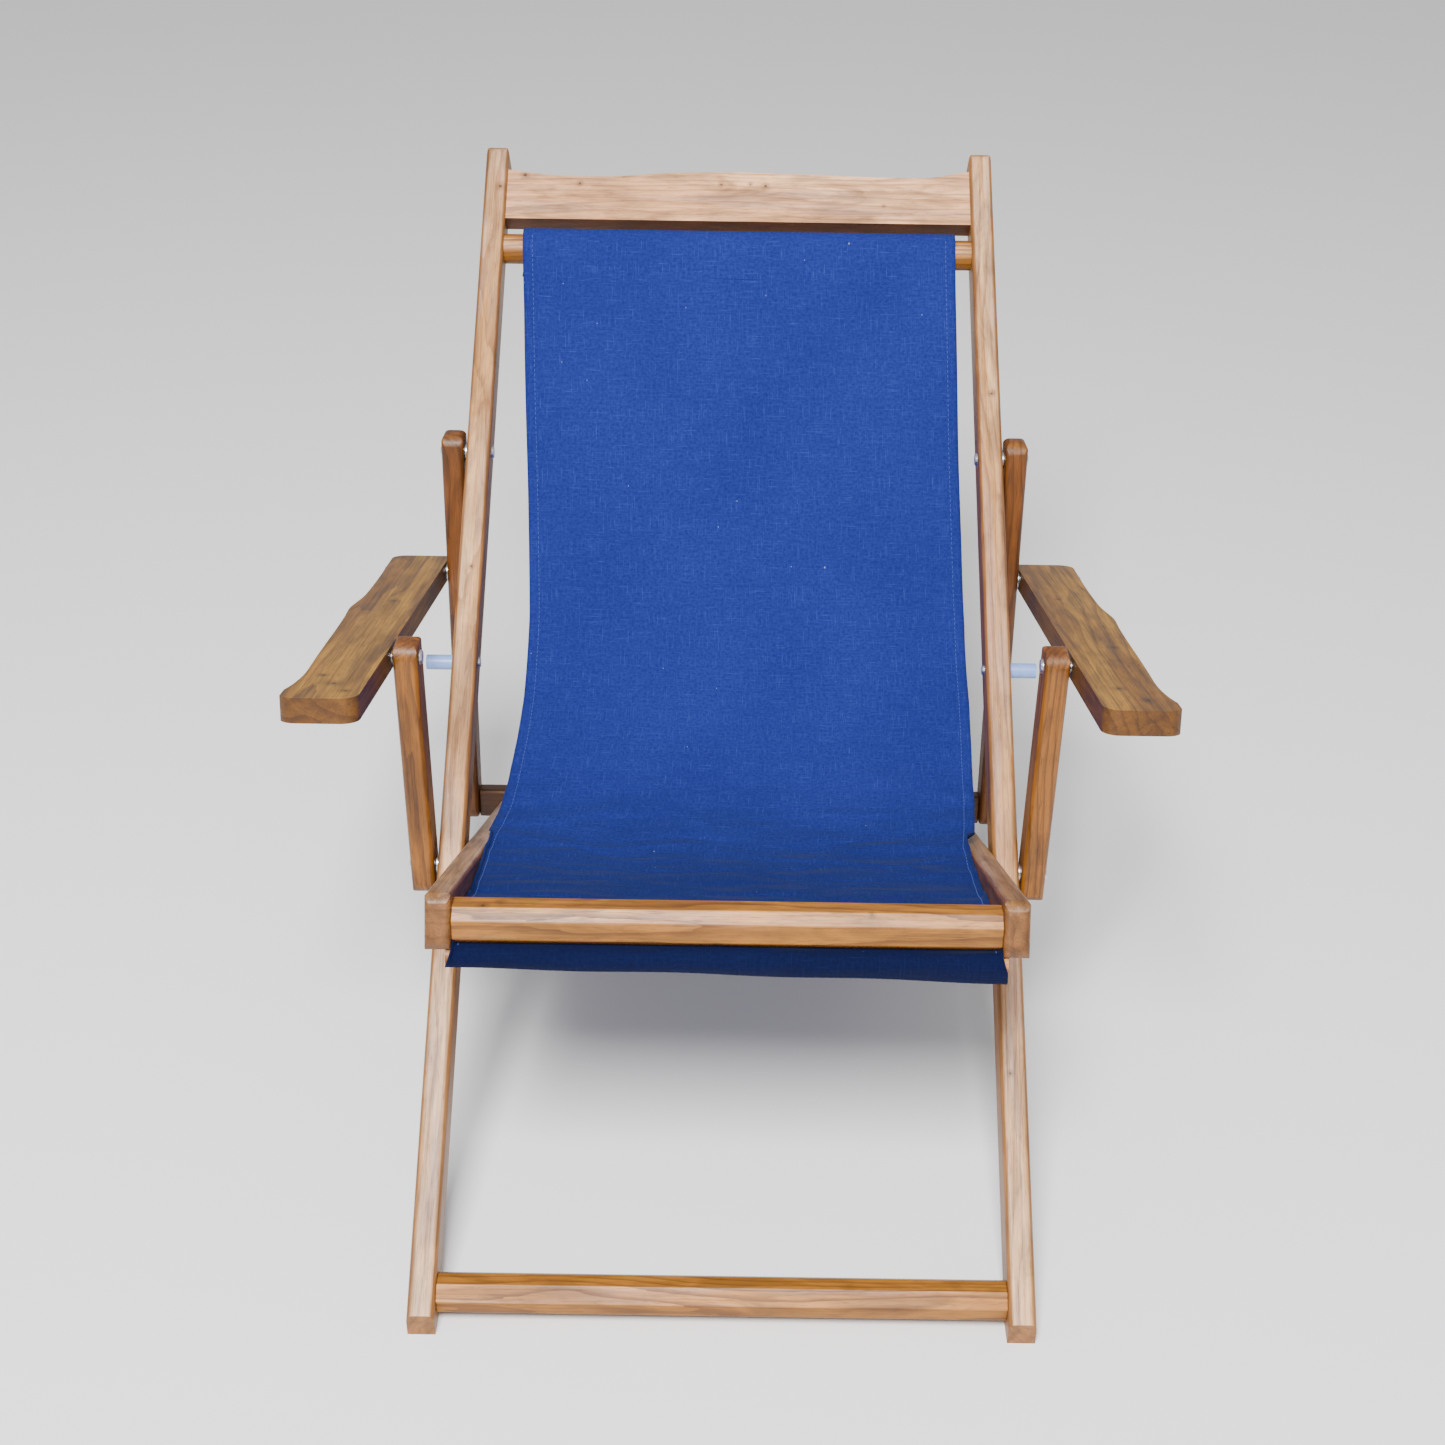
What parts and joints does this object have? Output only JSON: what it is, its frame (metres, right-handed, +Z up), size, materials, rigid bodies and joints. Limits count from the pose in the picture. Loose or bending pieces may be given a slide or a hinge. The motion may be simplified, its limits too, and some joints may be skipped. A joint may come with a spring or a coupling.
{
  "type": "folding deck chair",
  "caption": "Folding wooden deck chair with a cloth sling seat, swinging arms and a prop frame that folds up against the back.",
  "frame": {"origin": "on the floor, midway across the chair and midway between its front toe and its top end", "axes": "+X to the right of someone facing the back of the seat, +Y from the front feet to the top of the back, +Z up"},
  "size_m": [0.7522, 1.0352, 0.75],
  "materials": {
    "pale_wood": "oiled, satin, straight grain",
    "warm_wood": "oiled, satin, warm brown grain",
    "arm_wood": "oiled, satin, dark wavy grain",
    "steel": "zinc plated",
    "white_nylon": "moulded, slightly glossy",
    "blue_cloth": "plain woven canvas"
  },
  "bodies": {
    "main_frame": {"main_stile_left": "pale_wood", "main_stile_right": "pale_wood", "top_rail": "pale_wood", "sling_dowel": "warm_wood", "bottom_rail": "warm_wood", "seat_pivot_bolts": "steel", "seat_pivot_nuts": "steel", "seat_pivot_washers": "steel", "prop_pivot_bolts": "steel", "prop_pivot_nuts": "steel", "prop_pivot_washers": "steel", "fold_stop_pegs": "white_nylon", "peg_screws": "steel", "sling": "blue_cloth"},
    "seat_frame": {"seat_rail_left": "warm_wood", "seat_rail_right": "warm_wood", "seat_front_rail": "warm_wood", "seat_rear_stretcher": "warm_wood", "hem_rod": "warm_wood"},
    "prop_frame": {"prop_stile_left": "warm_wood", "prop_stile_right": "warm_wood", "prop_crossbar": "warm_wood"},
    "post_left": {"arm_post_left": "warm_wood", "arm_front_bolt_left": "steel", "arm_front_washer_left": "steel"},
    "armrest_left": {"arm_left": "arm_wood", "arm_front_insert_left": "steel", "arm_rear_bolt_left": "steel", "arm_rear_dome_nut_left": "steel", "arm_rear_washers_left": "steel"},
    "post_right": {"arm_post_right": "warm_wood", "arm_front_bolt_right": "steel", "arm_front_washer_right": "steel"},
    "armrest_right": {"arm_right": "arm_wood", "arm_front_insert_right": "steel", "arm_rear_bolt_right": "steel", "arm_rear_dome_nut_right": "steel", "arm_rear_washers_right": "steel"}
  },
  "joints": [
    {"name": "prop_fold", "type": "hinge", "parent": "main_frame", "child": "prop_frame", "pos_m": [0, 0.20518, 0.51935], "axis": [1, 0, 0], "range_deg": [0, 134]},
    {"name": "seat_fold", "type": "hinge", "parent": "main_frame", "child": "seat_frame", "pos_m": [0, -0.16188, 0.25559], "axis": [1, 0, 0], "range_deg": [0, 56.58], "deforming": ["sling"]},
    {"name": "post_swing_left", "type": "hinge", "parent": "main_frame", "child": "post_left", "pos_m": [0, -0.16188, 0.25559], "axis": [1, 0, 0], "range_deg": [-46.61, 0]},
    {"name": "arm_tilt_left", "type": "hinge", "parent": "prop_frame", "child": "armrest_left", "pos_m": [0, 0.18538, 0.38682], "axis": [1, 0, 0], "range_deg": [-86.58, 0]},
    {"name": "post_swing_right", "type": "hinge", "parent": "main_frame", "child": "post_right", "pos_m": [0, -0.16188, 0.25559], "axis": [1, 0, 0], "range_deg": [-46.61, 0]},
    {"name": "arm_tilt_right", "type": "hinge", "parent": "prop_frame", "child": "armrest_right", "pos_m": [0, 0.18538, 0.38682], "axis": [1, 0, 0], "range_deg": [-86.58, 0]}
  ],
  "couplings": [
    {"joint": "seat_fold", "follows": "prop_fold", "ratio": 0.42},
    {"joint": "post_swing_left", "follows": "prop_fold", "ratio": -0.34558},
    {"joint": "arm_tilt_left", "follows": "prop_fold", "ratio": -0.64386},
    {"joint": "post_swing_right", "follows": "prop_fold", "ratio": -0.34558},
    {"joint": "arm_tilt_right", "follows": "prop_fold", "ratio": -0.64386}
  ]
}
